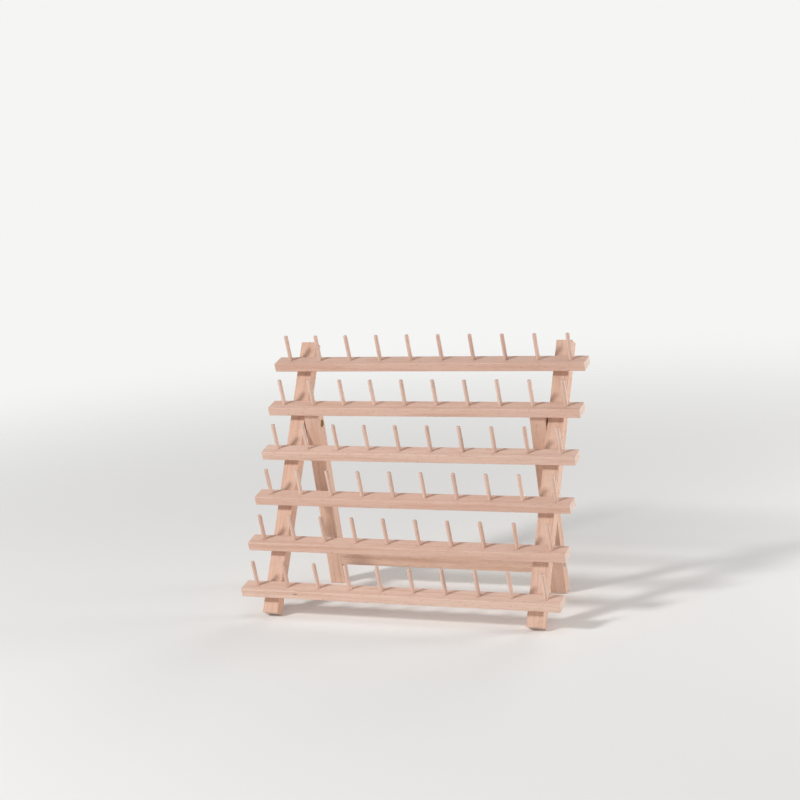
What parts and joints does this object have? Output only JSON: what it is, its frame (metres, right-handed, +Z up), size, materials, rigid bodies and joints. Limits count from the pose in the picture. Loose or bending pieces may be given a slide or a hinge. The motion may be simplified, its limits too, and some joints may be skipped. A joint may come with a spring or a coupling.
{
  "type": "thread spool rack",
  "caption": "Folding wooden thread spool rack: tilted rails of upright pegs step up two leaning front legs, held by a hinged rear stand.",
  "frame": {"origin": "on the floor, under the middle of the open rack", "axes": "+X to the rack's right seen from the front, along the rails; -Y to the front, the side that the pegs face; +Z up"},
  "size_m": [0.4, 0.1828, 0.3177],
  "materials": {
    "beech_rails": "planed and sanded, unfinished beech",
    "beech_pegs": "turned, unfinished beech",
    "beech_legs": "planed and sanded, unfinished beech",
    "screw_steel": "dark bronzed steel, satin"
  },
  "bodies": {
    "front_frame": {"rail_1": "beech_rails", "rail_2": "beech_rails", "rail_3": "beech_rails", "rail_4": "beech_rails", "rail_5": "beech_rails", "rail_6": "beech_rails", "pegs_row_1": "beech_pegs", "pegs_row_2": "beech_pegs", "pegs_row_3": "beech_pegs", "pegs_row_4": "beech_pegs", "pegs_row_5": "beech_pegs", "pegs_row_6": "beech_pegs", "front_leg_left": "beech_legs", "front_leg_right": "beech_legs", "pivot_screw_left": "screw_steel", "pivot_screw_right": "screw_steel", "pivot_washer_left": "screw_steel", "pivot_washer_right": "screw_steel"},
    "rear_stand": {"rear_leg_left": "beech_legs", "rear_leg_right": "beech_legs", "rear_crossbar": "beech_legs", "crossbar_screws": "screw_steel"}
  },
  "joints": [
    {"name": "rear_stand_fold", "type": "hinge", "parent": "front_frame", "child": "rear_stand", "pos_m": [0, 0.0356, 0.21068], "axis": [-1, 0, 0], "range_deg": [0, 32]}
  ]
}
